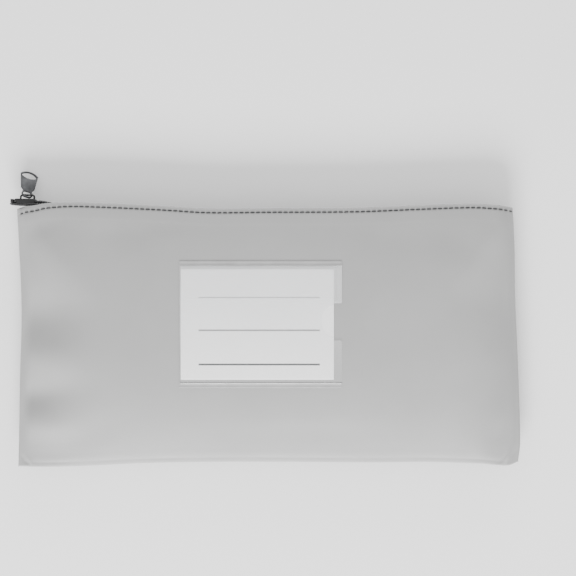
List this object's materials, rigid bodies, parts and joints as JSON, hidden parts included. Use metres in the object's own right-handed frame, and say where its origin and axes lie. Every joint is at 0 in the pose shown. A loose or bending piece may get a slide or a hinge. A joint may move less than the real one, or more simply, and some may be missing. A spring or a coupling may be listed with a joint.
{
  "type": "zipped deposit bag",
  "caption": "Flat zipped vinyl pouch with turned seams, a topstitched coil-zip mouth with slider and pull, and a clear welded card pocket with a ruled card.",
  "frame": {"origin": "centre of the area the back panel rests on", "axes": "+X along the zip from its closed end to its stop, +Y from the bottom seam to the mouth, +Z out of the front panel"},
  "size_m": [0.2882, 0.168, 0.0248],
  "materials": {
    "grey_vinyl": "soft grained PVC sheet, low sheen",
    "black_thread": "twisted polyester thread",
    "black_tape": "woven zip tape",
    "black_coil": "moulded nylon coil",
    "gunmetal": "dark plated die casting",
    "slider_metal": "black lacquered die casting",
    "clear_film": "clear flexible PVC film",
    "white_card": "plain coated card with three printed rules"
  },
  "bodies": {
    "bag": {"front_panel": "grey_vinyl", "back_panel": "grey_vinyl", "left_seam_thread": "black_thread", "right_seam_thread": "black_thread", "bottom_seam_thread": "black_thread", "front_topstitch": "black_thread", "back_topstitch": "black_thread", "front_zip_tape": "black_tape", "back_zip_tape": "black_tape", "front_zip_coil": "black_coil", "back_zip_coil": "black_coil", "front_filler_cord": "black_thread", "back_filler_cord": "black_thread", "front_coil_thread": "black_thread", "back_coil_thread": "black_thread", "top_stops": "gunmetal", "bottom_stop": "gunmetal", "label_window": "clear_film"},
    "slider": {"slider_body": "slider_metal"},
    "pull": {"zip_pull": "gunmetal"},
    "card": {"label_card": "white_card"}
  },
  "joints": [
    {"name": "slider_travel", "type": "slide", "parent": "bag", "child": "slider", "axis": [0.9999, -0.0133, 0], "range_m": [0, 0.26], "deforming": ["front_zip_tape", "back_zip_tape", "front_zip_coil", "back_zip_coil", "front_filler_cord", "back_filler_cord", "front_coil_thread", "back_coil_thread"]},
    {"name": "pull_swing", "type": "hinge", "parent": "slider", "child": "pull", "pos_m": [-0.13625, 0.07844, 0.011], "axis": [0.9999, -0.0133, 0], "range_deg": [0, 80]},
    {"name": "card_slide", "type": "slide", "parent": "bag", "child": "card", "axis": [1, 0, 0], "range_m": [0, 0.092]}
  ]
}
